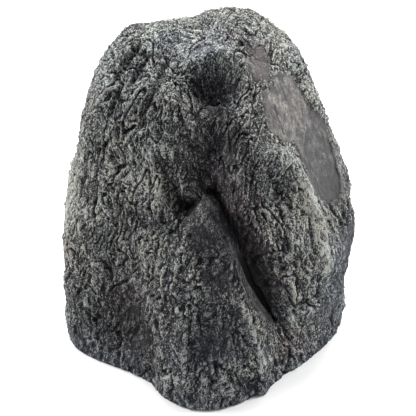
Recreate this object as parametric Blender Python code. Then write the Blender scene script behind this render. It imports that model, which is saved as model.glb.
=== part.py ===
"""Resin cave ornament: a hollow cast boulder for a tank or pond.

Two hollow resin shells are bonded along an upright seam. The front one has a slanting slit and a
recess for a slab panel, and the rear one has the cave's mouth. A flat floor plate closes the
underside, holds the weights and stands on rubber feet.
Axes: +X to the right, +Y to the back, +Z up. The origin is on the ground under the middle.
The rock's form is described in "heights": lengths as shares of HEIGHT, measured from a point on
the ground. Everything else is in metres.
"""

import bpy
import numpy as np
from mathutils import Vector

HEIGHT = 0.300
WALL = 0.0080
GAP = 0.0003
SEAM_Y = 0.20
RIM_CALM = 0.10
INNER_PLAIN = 0.03
INNER_FADE = 0.13
NEAREST = 0.0
FARTHEST = 1.2
HALVINGS = 32
CORE = np.array((0.0, SEAM_Y, 0.36))

FRONT_SECTORS = 46
REAR_SECTORS = 26
ROWS = 27

FLOOR_THICK = 0.0080
FLOOR_PLAY = 0.0008
FLOOR_SECTORS = 72
FOOT_RADIUS = 0.0110
FOOT_THICK = 0.0035
FOOT_PROUD = 0.0015
FOOT_SECTORS = 32
FOOT_POCKET_LOW = -0.010
FEET = {
    "foot_front_left": (-0.062, -0.030),
    "foot_front_right": (0.058, -0.030),
    "foot_rear_left": (-0.080, 0.072),
    "foot_rear_right": (0.080, 0.072),
}

BALLAST_TALL = 0.024
BALLAST_WIDE = 0.030
BALLAST_INSET = 0.0065
BALLAST_SECTORS = 10
BALLAST_CHAMFER = 0.0025
BALLAST = {
    "ballast_front": (-34.0, 34.0),
    "ballast_left": (-112.0, -58.0),
    "ballast_right": (58.0, 112.0),
}

STRIP_WIDE = 0.018
STRIP_THICK = 0.0030
STRIP_PLAY = 0.0010
STRIP_STEPS = 40

MOUTH_X = -0.010
MOUTH_WIDE = 0.118
MOUTH_TALL = 0.112
MOUTH_ARC = 14
MOUTH_SILL = -0.020
MOUTH_DEPTH = (0.25, 0.80)

SLAB_AT = (0.245, -0.068, 0.720)
SLAB_NORMAL = (0.77, -0.50, 0.38)
SLAB_THICK = 0.0040
SLAB_PLAY = 0.0004
SLAB_CUT_HIGH = 0.030
SLAB_OUTLINE = (
    (-0.107, 0.047),
    (-0.110, 0.093),
    (-0.098, 0.125),
    (-0.060, 0.142),
    (-0.010, 0.155),
    (0.031, 0.156),
    (0.062, 0.125),
    (0.070, 0.084),
    (0.088, 0.044),
    (0.125, 0.005),
    (0.138, -0.050),
    (0.138, -0.110),
    (0.134, -0.175),
    (0.120, -0.240),
    (0.090, -0.262),
    (0.050, -0.245),
    (0.008, -0.208),
    (-0.014, -0.167),
    (-0.004, -0.112),
    (-0.015, -0.080),
    (-0.010, -0.036),
    (-0.069, 0.003),
)

# Paths on the rock, as azimuth from the front towards +X and elevation, in degrees seen from CORE.
VALLEY = ((3, 59), (4, 55), (3, 50), (3, 43), (1, 37))
BROW = ((-16, 62), (-9, 65), (0, 67), (9, 67), (17, 64), (22, 60))
RIDGE = ((20, 65), (16, 57), (14, 50), (13, 43), (11, 37), (9, 32))
FISSURE = ((-1, 33), (2, 28), (4, 23), (8, 16), (11, 9), (15, 0), (20, -10), (25, -20))
VEE = ((0, 31), (-5, 27), (-9, 26), (-12, 30), (-15, 34), (-19, 39))
SHOULDER = ((13, 42), (19, 40), (27, 38), (34, 33), (37, 26), (39, 15), (40, 2), (43, -12))
LOW_RIDGE = ((7, 8), (8, 2), (11, -6), (14, -16), (16, -24), (16, -32))
LEFT_RIDGE = ((-24, 46), (-22, 38), (-18, 30), (-17, 22))
TONGUE_EDGE = ((-5, 22), (-7, 14), (-8, 4), (-7, -8), (-6, -18), (-6, -28))

# Ridges (+) and grooves (-) along those paths: the height, the width of the left and right flanks, and
# the share of the path over which each end fades.
FORMS = (
    (VALLEY, -0.046, 0.062, 0.058, 0.0, 0.0),
    (BROW, 0.026, 0.026, 0.026, 0.2, 0.2),
    (RIDGE, 0.028, 0.020, 0.060, 0.1, 0.1),
    (FISSURE, 0.034, 0.006, 0.080, 0.15, 0.2),
    (FISSURE, -0.034, 0.042, 0.012, 0.1, 0.2),
    (VEE, -0.018, 0.026, 0.020, 0.0, 0.8),
    (SHOULDER, 0.034, 0.034, 0.030, 0.1, 0.3),
    (LOW_RIDGE, 0.020, 0.034, 0.018, 0.2, 0.0),
    (LEFT_RIDGE, 0.018, 0.030, 0.020, 0.3, 0.3),
    (TONGUE_EDGE, 0.010, 0.022, 0.030, 0.2, 0.1),
)

# Round knobs (+) and dents (-): where, the height and the width.
SPOTS = (
    ((-5, 58), -0.030, 0.052),
    ((10, 57), -0.034, 0.052),
    ((3, 44), -0.024, 0.050),
    ((-8, 26), -0.034, 0.034),
    ((1, -12), -0.014, 0.060),
    ((-23, 9), 0.018, 0.045),
    ((-45, -4), 0.012, 0.050),
    ((-17, 54), 0.014, 0.040),
    ((-19, -32), -0.022, 0.038),
    ((24, 29), -0.014, 0.030),
    ((-4, 77), -0.012, 0.050),
)


# The slit follows the fissure from SLIT_START, counted in points of its smoothed path.
SLIT_START = 17
SLIT_HALF = 0.0030
SLIT_NARROWING = 0.4
SLIT_REACH = (0.80, 1.12)

RESIN = (0.075, 0.078, 0.082)
SLAB_RESIN = (0.16, 0.14, 0.13)
PLAIN_RESIN = (0.055, 0.056, 0.060)
SAND_RESIN = (0.25, 0.21, 0.16)
RUBBER = (0.02, 0.02, 0.02)


def clear_scene():
    for thing in list(bpy.data.objects):
        bpy.data.objects.remove(thing)


def material(name, colour, roughness):
    made = bpy.data.materials.new(name)
    made.use_nodes = True
    shader = made.node_tree.nodes["Principled BSDF"]
    shader.inputs["Base Color"].default_value = (*colour, 1.0)
    shader.inputs["Roughness"].default_value = roughness
    shader.inputs["Metallic"].default_value = 0.0
    return made


def node(name, points, faces, look):
    """One named object from its points in metres and its faces."""
    mesh = bpy.data.meshes.new(name)
    mesh.from_pydata([tuple(p) for p in points], [], faces)
    mesh.validate()
    mesh.update()
    if look is not None:
        mesh.materials.append(look)
    made = bpy.data.objects.new(name, mesh)
    bpy.context.scene.collection.objects.link(made)
    return made


def cut_with(target, cutter):
    cutter.hide_render = True
    cutter.display_type = "WIRE"
    cut = target.modifiers.new("cut_" + cutter.name, "BOOLEAN")
    cut.operation = "DIFFERENCE"
    cut.solver = "EXACT"
    cut.object = cutter


# The rock's form, in heights.


def lump(p, centre, radii, plan=2.0, rise=2.0):
    """About how far each point is outside a superellipsoid."""
    q = p - np.array(centre)
    s = np.abs(q) / np.array(radii)
    flat = (s[..., 0] ** plan + s[..., 1] ** plan) ** (rise / plan)
    size = np.maximum((flat + s[..., 2] ** rise) ** (1 / rise), 1e-6)
    return np.linalg.norm(q, axis=-1) * (1 - 1 / size)


def join(a, b, blend):
    """The union of two fields, rounded over blend where they meet."""
    mix = np.clip(0.5 + 0.5 * (b - a) / blend, 0, 1)
    return b + (a - b) * mix - blend * mix * (1 - mix)


def facet(field, p, at, normal, blend):
    """The field with everything past a plane taken away."""
    n = np.array(normal) / np.linalg.norm(normal)
    return -join(-field, -((p - np.array(at)) @ n), blend)


def rock(p):
    """Below zero inside the boulder, about the distance to its surface elsewhere."""
    f = lump(p, (-0.01, 0.05, -0.02), (0.435, 0.42, 0.93), plan=2.3, rise=2.7)
    f = facet(f, p, (-0.30, -0.215, 0.0), (-0.47, -0.88, 0.18), 0.05)
    f = facet(f, p, (0.235, -0.265, 0.0), (0.72, -0.70, 0.08), 0.07)
    f = join(f, lump(p, (0.15, 0.04, 0.35), (0.28, 0.31, 0.36)), 0.06)
    f = join(f, lump(p, (0.06, 0.12, 0.68), (0.24, 0.23, 0.305)), 0.08)
    f = join(f, lump(p, (-0.15, 0.10, 0.675), (0.22, 0.21, 0.28)), 0.06)
    f = join(f, lump(p, (-0.01, -0.14, 0.0), (0.20, 0.275, 0.56), rise=2.4), 0.06)
    f = join(f, lump(p, (-0.20, 0.24, 0.12), (0.26, 0.22, 0.34)), 0.06)
    f = join(f, lump(p, (0.14, 0.30, 0.30), (0.22, 0.20, 0.38)), 0.05)
    f = facet(f, p, (-0.24, 0.42, 0.50), (-0.62, 0.70, 0.34), 0.05)
    f = facet(f, p, (0.24, 0.40, 0.66), (0.50, 0.70, 0.50), 0.05)
    f = facet(f, p, (-0.40, 0.05, 0.62), (-0.93, 0.05, 0.36), 0.05)
    return facet(f, p, SLAB_AT, SLAB_NORMAL, 0.02)


def aim(azimuth, elevation):
    """Unit vectors from angles in degrees."""
    a = np.radians(azimuth)
    e = np.radians(elevation)
    return np.stack([np.sin(a) * np.cos(e), -np.cos(a) * np.cos(e), np.sin(e)], -1)


def reach(start, ways, depth=0.0):
    """How far each ray goes from start to the surface that lies depth below the rock's own."""
    near = np.full(len(ways), NEAREST)
    far = np.full(len(ways), FARTHEST)
    for _ in range(HALVINGS):
        middle = (near + far) / 2
        inside = rock(start + ways * middle[:, None]) < -depth
        near = np.where(inside, middle, near)
        far = np.where(inside, far, middle)
    return (near + far) / 2


def on_rock(angles):
    ways = aim(*np.array(angles, float).T)
    return CORE + ways * reach(CORE, ways)[:, None]


def smooth_path(points, between=5):
    """A Catmull-Rom curve through the points."""
    p = np.array(points, float)
    ends = np.vstack([2 * p[0] - p[1], p, 2 * p[-1] - p[-2]])
    curve = []
    for i in range(len(p) - 1):
        a, b, c, d = ends[i : i + 4]
        for t in np.arange(between) / between:
            bend = 2 * a - 5 * b + 4 * c - d
            twist = 3 * b - a - 3 * c + d
            curve.append(b + 0.5 * ((c - a) * t + bend * t**2 + twist * t**3))
    return np.array(curve + [p[-1]])


def trail(p, angles):
    """Distance to a path on the rock, the side of it (+1 right, -1 left) and how far along it."""
    line = on_rock(smooth_path(angles))
    nearest = np.full(len(p), 9.0)
    side = np.zeros(len(p))
    along = np.zeros(len(p))
    for i, (a, b) in enumerate(zip(line[:-1], line[1:])):
        step = b - a
        t = np.clip(((p - a) @ step) / (step @ step), 0, 1)
        off = p - a - t[:, None] * step
        distance = np.linalg.norm(off, axis=1)
        closer = distance < nearest
        across = np.sign(off @ np.cross(step, (a + b) / 2 - CORE))
        nearest = np.where(closer, distance, nearest)
        side = np.where(closer, across, side)
        along = np.where(closer, (i + t) / (len(line) - 1), along)
    return nearest, side, along


def bump(distance, width):
    return np.exp(-((distance / width) ** 2))


def spot(p, place, width):
    return bump(np.linalg.norm(p - on_rock([place])[0], axis=1), width)


def faded(along, share):
    """Rises smoothly from 0 to 1 over a share of a path's length."""
    if share == 0:
        return 1.0
    t = np.clip(along / share, 0, 1)
    return t * t * (3 - 2 * t)


def relief(p):
    """How far the ridges, grooves, knobs and dents stand out from the rock, in heights."""
    h = np.zeros(len(p))
    for path, height, left, right, fade_in, fade_out in FORMS:
        distance, side, along = trail(p, path)
        flank = bump(distance, np.where(side > 0, right, left))
        h += height * flank * faded(along, fade_in) * faded(1 - along, fade_out)
    for place, height, width in SPOTS:
        h += height * spot(p, place, width)
    return h


def section(azimuths, z, depth):
    """Distance from the upright line through CORE to the surface depth below the rock's, at z."""
    start = np.array((CORE[0], CORE[1], z))
    return reach(start, aim(azimuths, np.zeros(len(azimuths))), depth)


def skin(azimuths, rows, depth):
    """Rows of points on the surface that lies depth below the rock's, from the rim to the top."""
    level = aim(azimuths, np.zeros(len(azimuths)))
    rim = section(azimuths, 0.0, depth)
    low = np.degrees(np.arctan2(-CORE[2], rim))
    shares = np.linspace(0, 1, rows + 1)
    points = np.empty((rows, len(azimuths), 3))
    points[0] = np.array((CORE[0], CORE[1], 0.0)) + level * rim[:, None]
    for i, share in enumerate(shares[1:-1], 1):
        ways = aim(azimuths, low + (90 - low) * share)
        points[i] = CORE + ways * reach(CORE, ways, depth)[:, None]
    flat = points.reshape(-1, 3)
    ways = flat - CORE
    ways /= np.linalg.norm(ways, axis=1)[:, None]
    outer = CORE + ways * reach(CORE, ways)[:, None]
    push = ways * relief(outer)[:, None]
    if depth > 0:
        push *= faded(flat[:, 2:] - INNER_PLAIN, INNER_FADE)
    push[:, 2] *= np.clip(flat[:, 2] / RIM_CALM, 0, 1)
    up = np.array([(0.0, 0.0, 1.0)])
    top = CORE + up[0] * reach(CORE, up, depth)[0]
    return (flat + push).reshape(rows, -1, 3), top


# From heights to metres.


def ground_centre():
    """Where the middle of the rock's footprint box is, in heights."""
    points, top = skin(np.arange(0, 360, 6.0), 24, 0.0)
    flat = points.reshape(-1, 3)
    return (flat.min(0) + flat.max(0)) / 2


def placed(points):
    """Points in heights as points in metres, above the feet and centred on the origin."""
    return (np.asarray(points) - MIDDLE) * HEIGHT + np.array((0, 0, FOOT_PROUD))


MIDDLE = ground_centre() * np.array((1, 1, 0))
FLOOR_TOP = FLOOR_THICK / HEIGHT


def shell(name, first, last, sectors, shift, look):
    """A closed hollow casting between two azimuths, from the rim up to the pole over CORE."""
    azimuths = np.linspace(first, last, sectors + 1)
    outer, outer_top = skin(azimuths, ROWS, 0.0)
    inner, inner_top = skin(azimuths, ROWS, WALL / HEIGHT)
    width = sectors + 1
    count = ROWS * width
    points = np.vstack([outer.reshape(-1, 3), inner.reshape(-1, 3), [outer_top, inner_top]])
    faces = []
    for row in range(ROWS - 1):
        for i in range(sectors):
            a = row * width + i
            faces.append((a, a + 1, a + width + 1, a + width))
            faces.append((count + a, count + a + width, count + a + width + 1, count + a + 1))
    last_row = (ROWS - 1) * width
    for i in range(sectors):
        a = last_row + i
        faces.append((a, a + 1, 2 * count))
        faces.append((count + a + 1, count + a, 2 * count + 1))
        faces.append((count + i, count + i + 1, i + 1, i))
    for row in range(ROWS - 1):
        a = row * width
        b = a + sectors
        faces.append((a, a + width, count + a + width, count + a))
        faces.append((b + width, b, count + b, count + b + width))
    faces.append((last_row, 2 * count, 2 * count + 1, count + last_row))
    end = last_row + sectors
    faces.append((2 * count, end, count + end, 2 * count + 1))
    return node(name, placed(points) + np.array((0, shift, 0)), faces, look)


def prism(name, low, high, look=None):
    """A closed solid between two rings with the same number of points."""
    n = len(low)
    sides = [(i, (i + 1) % n, n + (i + 1) % n, n + i) for i in range(n)]
    ends = [tuple(range(n - 1, -1, -1)), tuple(range(n, 2 * n))]
    return node(name, np.vstack([low, high]), sides + ends, look)


def slit_cutter():
    """A ribbon along the fissure that goes through the front shell's wall."""
    line = on_rock(smooth_path(FISSURE)[SLIT_START:])
    steps = np.gradient(line, axis=0)
    outward = line - CORE
    outward /= np.linalg.norm(outward, axis=1)[:, None]
    across = np.cross(steps, outward)
    across /= np.linalg.norm(across, axis=1)[:, None]
    taper = np.sin(np.linspace(0, np.pi, len(line)))[:, None]
    half = SLIT_HALF / HEIGHT * (1 - SLIT_NARROWING * (1 - taper))
    ring = np.vstack([line + across * half, (line - across * half)[::-1]])
    ways = ring - CORE
    low, high = (placed(CORE + ways * share) for share in SLIT_REACH)
    return prism("slit_cutter", low, high)


def mouth_cutter():
    """An arched tunnel from inside the cave out through the back."""
    half = MOUTH_WIDE / 2
    rise = MOUTH_TALL - half
    turn = np.linspace(0, np.pi, MOUTH_ARC)
    arch = np.stack([np.cos(turn) * half, rise + np.sin(turn) * half], 1)
    outline = np.vstack([arch, [(-half, MOUTH_SILL), (half, MOUTH_SILL)]])
    front, back = (placed([(0.0, y, 0.0)])[0][1] for y in MOUTH_DEPTH)
    rings = [np.array([(MOUTH_X + x, y, FOOT_PROUD + z) for x, z in outline]) for y in (back, front)]
    return prism("mouth_cutter", *rings)


def slab_axes():
    """The slab's place, and its axes across, up the slope and outward."""
    out = Vector(SLAB_NORMAL).normalized()
    across = Vector((0, 0, 1)).cross(out).normalized()
    up = out.cross(across)
    return placed([SLAB_AT])[0], np.array(across), np.array(up), np.array(out)


def slab_ring(shrink, level):
    """The slab's outline, drawn in by shrink, at a level above the slab's face."""
    at, across, up, out = slab_axes()
    flat = np.array(SLAB_OUTLINE[::-1]) * HEIGHT
    middle = flat.mean(0)
    away = flat - middle
    far = np.linalg.norm(away, axis=1)[:, None]
    flat = middle + away * (far - shrink) / far
    return at + flat[:, :1] * across + flat[:, 1:] * up + level * out


def slab_cutter():
    return prism("slab_cutter", slab_ring(0.0, -SLAB_THICK - GAP), slab_ring(0.0, SLAB_CUT_HIGH))


def slab_panel(look):
    low = slab_ring(SLAB_PLAY, -SLAB_THICK)
    return prism("slab_panel", low, slab_ring(SLAB_PLAY, 0.0), look)


def floor_ring(z, play):
    around = np.arange(FLOOR_SECTORS) * 360.0 / FLOOR_SECTORS
    far = section(around, z, (WALL + play) / HEIGHT)
    level = aim(around, np.zeros(len(around)))
    return placed(np.array((CORE[0], CORE[1], z)) + level * far[:, None])


def disc(name, x, y, low, high, radius, look=None):
    turn = np.arange(FOOT_SECTORS) * 2 * np.pi / FOOT_SECTORS
    ring = np.stack([x + np.cos(turn) * radius, y + np.sin(turn) * radius, 0 * turn], 1)
    return prism(name, ring + (0, 0, low), ring + (0, 0, high), look)


def floor_plate(look):
    plate = prism("floor_plate", floor_ring(0.0, FLOOR_PLAY), floor_ring(FLOOR_TOP, FLOOR_PLAY), look)
    for name, (x, y) in FEET.items():
        pocket = disc(name + "_pocket", x, y, FOOT_POCKET_LOW, FOOT_THICK + GAP, FOOT_RADIUS + GAP)
        cut_with(plate, pocket)


def feet(look):
    for name, (x, y) in FEET.items():
        disc(name, x, y, 0.0, FOOT_THICK, FOOT_RADIUS, look)


def ballast(name, first, last, look):
    """A block that follows the wall, with its top edges chamfered."""
    azimuths = np.linspace(first, last, BALLAST_SECTORS + 1)
    top = (FLOOR_THICK + BALLAST_TALL) / HEIGHT
    far = section(azimuths, top, (WALL + BALLAST_INSET) / HEIGHT) * HEIGHT
    level = aim(azimuths, np.zeros(len(azimuths)))
    axis = placed([(CORE[0], CORE[1], 0.0)])[0]

    def ring(draw_in, z):
        outer = axis + level * (far - draw_in)[:, None]
        inner = axis + level * (far - BALLAST_WIDE + draw_in)[:, None]
        made = np.vstack([outer, inner[::-1]])
        return made + np.array((0, 0, z))

    base = ring(0.0, FLOOR_THICK + GAP)
    edge = ring(0.0, FLOOR_THICK + BALLAST_TALL - BALLAST_CHAMFER)
    cap = ring(BALLAST_CHAMFER, FLOOR_THICK + BALLAST_TALL)
    n = len(base)
    faces = [tuple(range(n - 1, -1, -1)), tuple(range(2 * n, 3 * n))]
    for level_at in (0, n):
        for i in range(n):
            a = level_at + i
            b = level_at + (i + 1) % n
            faces.append((a, b, b + n, a + n))
    return node(name, np.vstack([base, edge, cap]), faces, look)


def seam_strip(look):
    """A band over the inside of the seam, from the floor on one side to the floor on the other."""
    foot = FLOOR_TOP + 2 * GAP / HEIGHT
    half = STRIP_WIDE / 2 / HEIGHT
    rings = []
    for y, sink in ((-half, 0), (half, 0), (half, STRIP_THICK), (-half, STRIP_THICK)):
        start = CORE + np.array((0, y, 0))
        depth = (WALL + STRIP_PLAY + sink) / HEIGHT
        low = [section_side(way, y, foot, depth) for way in (1, -1)]
        angles = [np.arctan2(foot - CORE[2], low[0]), np.pi - np.arctan2(foot - CORE[2], low[1])]
        turns = np.linspace(angles[0], angles[1], STRIP_STEPS + 1)
        ways = np.stack([np.cos(turns), 0 * turns, np.sin(turns)], 1)
        points = start + ways * reach(start, ways, depth)[:, None]
        rings.append(points)
    rings = np.array(rings)
    n = STRIP_STEPS + 1
    faces = [(3 * n, 2 * n, n, 0), (n - 1, 2 * n - 1, 3 * n - 1, 4 * n - 1)]
    for k in range(4):
        for i in range(STRIP_STEPS):
            a = k * n + i
            b = (k + 1) % 4 * n + i
            faces.append((a, b, b + 1, a + 1))
    return node("seam_strip", placed(rings.reshape(-1, 3)), faces, look)


def section_side(way, y, z, depth):
    """How far the surface is from the upright line through CORE, along +X or -X, at y and z."""
    start = np.array((CORE[0], CORE[1] + y, z))
    return reach(start, np.array([(way, 0.0, 0.0)]), depth)[0]


def build():
    clear_scene()
    rock_look = material("rock_resin", RESIN, 0.8)
    inner_look = material("plain_resin", PLAIN_RESIN, 0.7)
    front = shell("front_shell", -90, 90, FRONT_SECTORS, -GAP / 2, rock_look)
    cut_with(front, slit_cutter())
    cut_with(front, slab_cutter())
    rear = shell("rear_shell", 90, 270, REAR_SECTORS, GAP / 2, rock_look)
    cut_with(rear, mouth_cutter())
    slab_panel(material("slab_resin", SLAB_RESIN, 0.6))
    seam_strip(inner_look)
    floor_plate(inner_look)
    sand = material("sand_resin", SAND_RESIN, 0.9)
    for name, (first, last) in BALLAST.items():
        ballast(name, first, last, sand)
    feet(material("foot_rubber", RUBBER, 0.6))


build()
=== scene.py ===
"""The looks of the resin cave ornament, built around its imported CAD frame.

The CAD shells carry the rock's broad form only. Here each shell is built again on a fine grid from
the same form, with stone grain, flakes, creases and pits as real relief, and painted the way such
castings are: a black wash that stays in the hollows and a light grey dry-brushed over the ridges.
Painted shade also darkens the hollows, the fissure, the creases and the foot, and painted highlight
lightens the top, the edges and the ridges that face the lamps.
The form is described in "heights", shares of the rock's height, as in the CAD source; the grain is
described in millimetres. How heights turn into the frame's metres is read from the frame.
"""

import math
from collections import namedtuple

import bmesh
import bpy
import numpy as np
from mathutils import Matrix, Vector


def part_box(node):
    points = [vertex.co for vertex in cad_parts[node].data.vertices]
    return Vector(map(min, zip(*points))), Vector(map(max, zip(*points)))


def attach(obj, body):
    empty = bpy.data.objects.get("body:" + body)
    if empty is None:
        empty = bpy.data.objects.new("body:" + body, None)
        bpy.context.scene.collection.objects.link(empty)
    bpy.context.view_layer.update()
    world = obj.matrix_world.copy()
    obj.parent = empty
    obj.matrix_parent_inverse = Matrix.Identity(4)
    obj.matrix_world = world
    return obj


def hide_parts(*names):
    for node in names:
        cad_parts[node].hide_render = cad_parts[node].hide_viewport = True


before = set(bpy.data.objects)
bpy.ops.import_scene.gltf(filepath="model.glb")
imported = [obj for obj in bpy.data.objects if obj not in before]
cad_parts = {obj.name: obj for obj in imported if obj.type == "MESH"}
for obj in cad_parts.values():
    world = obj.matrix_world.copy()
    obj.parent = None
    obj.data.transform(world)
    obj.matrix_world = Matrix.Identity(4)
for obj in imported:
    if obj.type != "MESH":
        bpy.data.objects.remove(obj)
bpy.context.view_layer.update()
scene = bpy.context.scene

# Steps round and up each shell's plain form, how many times finer the grain's grid is, and about how far
# apart that grid's points are.
FRONT_GRID = (135, 120)
REAR_GRID = (84, 90)
FINER = 4
STEP_MM = 0.8

# The rock's form, the same as in the CAD source, in heights and in degrees seen from CORE.
SEAM_Y = 0.20
RIM_CALM = 0.10
INNER_PLAIN = 0.03
INNER_FADE = 0.13
NEAREST = 0.05
FARTHEST = 0.85
HALVINGS = 16
CORE = np.array((0.0, SEAM_Y, 0.36))
SLAB_AT = (0.245, -0.068, 0.720)
SLAB_NORMAL = (0.77, -0.50, 0.38)
SLAB_OUTLINE = (
    (-0.107, 0.047),
    (-0.110, 0.093),
    (-0.098, 0.125),
    (-0.060, 0.142),
    (-0.010, 0.155),
    (0.031, 0.156),
    (0.062, 0.125),
    (0.070, 0.084),
    (0.088, 0.044),
    (0.125, 0.005),
    (0.138, -0.050),
    (0.138, -0.110),
    (0.134, -0.175),
    (0.120, -0.240),
    (0.090, -0.262),
    (0.050, -0.245),
    (0.008, -0.208),
    (-0.014, -0.167),
    (-0.004, -0.112),
    (-0.015, -0.080),
    (-0.010, -0.036),
    (-0.069, 0.003),
)
# Paths on the rock, as azimuth from the front towards +X and elevation, in degrees seen from CORE.
VALLEY = ((3, 59), (4, 55), (3, 50), (3, 43), (1, 37))
BROW = ((-16, 62), (-9, 65), (0, 67), (9, 67), (17, 64), (22, 60))
RIDGE = ((20, 65), (16, 57), (14, 50), (13, 43), (11, 37), (9, 32))
FISSURE = ((-1, 33), (2, 28), (4, 23), (8, 16), (11, 9), (15, 0), (20, -10), (25, -20))
VEE = ((0, 31), (-5, 27), (-9, 26), (-12, 30), (-15, 34), (-19, 39))
SHOULDER = ((13, 42), (19, 40), (27, 38), (34, 33), (37, 26), (39, 15), (40, 2), (43, -12))
LOW_RIDGE = ((7, 8), (8, 2), (11, -6), (14, -16), (16, -24), (16, -32))
LEFT_RIDGE = ((-24, 46), (-22, 38), (-18, 30), (-17, 22))
TONGUE_EDGE = ((-5, 22), (-7, 14), (-8, 4), (-7, -8), (-6, -18), (-6, -28))

# Ridges (+) and grooves (-) along those paths: the height, the width of the left and right flanks, and
# the share of the path over which each end fades.
FORMS = (
    (VALLEY, -0.046, 0.062, 0.058, 0.0, 0.0),
    (BROW, 0.026, 0.026, 0.026, 0.2, 0.2),
    (RIDGE, 0.028, 0.020, 0.060, 0.1, 0.1),
    (FISSURE, 0.034, 0.006, 0.080, 0.15, 0.2),
    (FISSURE, -0.034, 0.042, 0.012, 0.1, 0.2),
    (VEE, -0.018, 0.026, 0.020, 0.0, 0.8),
    (SHOULDER, 0.034, 0.034, 0.030, 0.1, 0.3),
    (LOW_RIDGE, 0.020, 0.034, 0.018, 0.2, 0.0),
    (LEFT_RIDGE, 0.018, 0.030, 0.020, 0.3, 0.3),
    (TONGUE_EDGE, 0.010, 0.022, 0.030, 0.2, 0.1),
)

# Round knobs (+) and dents (-): where, the height and the width.
SPOTS = (
    ((-5, 58), -0.030, 0.052),
    ((10, 57), -0.034, 0.052),
    ((3, 44), -0.024, 0.050),
    ((-8, 26), -0.034, 0.034),
    ((1, -12), -0.014, 0.060),
    ((-23, 9), 0.018, 0.045),
    ((-45, -4), 0.012, 0.050),
    ((-17, 54), 0.014, 0.040),
    ((-19, -32), -0.022, 0.038),
    ((24, 29), -0.014, 0.030),
    ((-4, 77), -0.012, 0.050),
)

CRACK = ((26, -20), (28, -27), (27, -33), (22, -38))

# Fine creases: the path, how deep in mm and how far from its middle each fades out, in mm.
CREASES = (
    (((-46, 68), (-47, 62), (-46, 55)), 5.5, 4.8),
    (((-38, 66), (-38, 60), (-40, 53)), 4.0, 3.2),
    (((-25, 67), (-26, 62), (-25, 57)), 4.0, 4.0),
    (((-23, 58), (-27, 53), (-30, 45)), 4.5, 4.2),
    (((-42, 56), (-43, 51), (-43, 44)), 4.5, 4.0),
    (((-13, 57), (-13, 54), (-16, 50)), 2.6, 2.4),
    (((-23, 45), (-19, 38), (-13, 32), (-9, 28)), 2.6, 2.6),
    (((19, 38), (24, 31), (28, 24), (32, 17)), 2.4, 3.0),
    (((-30, 18), (-24, 16), (-16, 19), (-8, 21)), 2.6, 3.4),
    (((-47, 40), (-47, 32), (-49, 24)), 2.6, 2.6),
    (((36, 6), (38, -6), (39, -18)), 2.2, 2.4),
    (((-19, 4), (-18, -6), (-17, -16)), 2.0, 2.6),
    (((56, 13), (58, 8), (57, 3)), 3.5, 3.5),
    (((-36, 24), (-37, 14), (-36, 4)), 2.6, 3.0),
    (((-52, 36), (-53, 26), (-53, 14)), 2.6, 3.0),
    (((150, 62), (158, 46), (150, 28)), 3.4, 4.0),
    (((-120, 56), (-126, 40), (-118, 20)), 3.4, 4.0),
    (((118, 42), (124, 26), (116, 6)), 3.4, 4.0),
    (((-166, 60), (-154, 50), (-148, 36)), 3.0, 3.6),
    (((100, 56), (103, 40), (98, 26)), 3.0, 3.4),
    (((-98, 50), (-101, 32), (-97, 12)), 3.0, 3.4),
)
# Ridges painted lighter, partly dry-brush and partly painted highlight: the path, how much and the width
# in mm.
DRYBRUSH_AND_HIGHLIGHT_RIDGES = (
    (((34, 31), (37, 26), (39, 15), (40, 2), (42, -8)), 1.00, 12.0),
    (LOW_RIDGE, 0.55, 3.5),
    (LEFT_RIDGE, 0.30, 4.0),
    (((-7, -3), (-6, -11), (-6, -20)), 0.70, 2.2),
)

# Where the stone is calmer, has painted shade, has painted highlight, is browner, bluer or as plain as
# the slab: where, how much and the width.
CALM_SPOTS = (
    ((0, 17), 0.75, 0.060),
    ((3, 6), 0.75, 0.060),
    ((2, -12), 0.60, 0.085),
    ((3, 60), 0.50, 0.060),
    ((3, 45), 0.45, 0.060),
    ((1, 36), 0.50, 0.060),
    ((8, 27), 0.60, 0.050),
    ((54, -4), 0.75, 0.110),
    ((50, -26), 0.70, 0.090),
    ((56, 24), 0.80, 0.090),
    ((4, 69), 0.85, 0.055),
    ((-4, 76), 0.55, 0.080),
    ((14, 76), 0.55, 0.080),
    ((40, 70), 0.50, 0.070),
    ((-30, 72), 0.35, 0.080),
    ((-62, 8), 0.60, 0.080),
    ((34, 66), 0.60, 0.040),
    ((30, 61), 0.90, 0.040),
    ((152, 44), 0.60, 0.120),
    ((-132, 26), 0.60, 0.120),
    ((178, 30), 0.60, 0.100),
    ((112, 20), 0.50, 0.100),
    ((-158, 2), 0.50, 0.110),
)
# Painted shade: mostly the hollows under the brow, the valley, the pit by the fissure and the lower faces.
SHADE_SPOTS = (
    ((-3, 60), 0.65, 0.050),
    ((11, 59), 0.65, 0.050),
    ((4, 56), 0.78, 0.080),
    ((4, 50), 0.65, 0.080),
    ((-3, 43), 0.75, 0.070),
    ((8, 43), 0.85, 0.070),
    ((-3, 37), 0.70, 0.065),
    ((6, 36), 0.75, 0.070),
    ((-2, 30), 0.60, 0.050),
    ((-8, 26), 0.95, 0.055),
    ((24, 29), 0.50, 0.055),
    ((20, 36), 0.30, 0.060),
    ((22, 4), 0.30, 0.080),
    ((1, 17), 0.90, 0.065),
    ((4, 8), 0.75, 0.060),
    ((1, -12), 0.75, 0.110),
    ((-16, 19), 0.45, 0.055),
    ((-33, 13), 0.35, 0.060),
    ((-27, -22), 0.95, 0.125),
    ((-34, 0), 0.35, 0.150),
    ((-12, -2), 0.30, 0.090),
    ((-44, -22), 0.40, 0.100),
    ((-46, 62), 0.45, 0.035),
    ((-27, 52), 0.40, 0.040),
    ((-43, 50), 0.40, 0.035),
    ((34, 66), 0.45, 0.035),
    ((55, -20), 0.45, 0.120),
    ((55, 0), 0.35, 0.090),
    ((148, 50), 0.50, 0.110),
    ((-136, 32), 0.45, 0.120),
    ((118, 8), 0.45, 0.110),
    ((-164, 64), 0.40, 0.090),
    ((176, 30), 0.50, 0.090),
    ((-150, -12), 0.45, 0.100),
)
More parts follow.
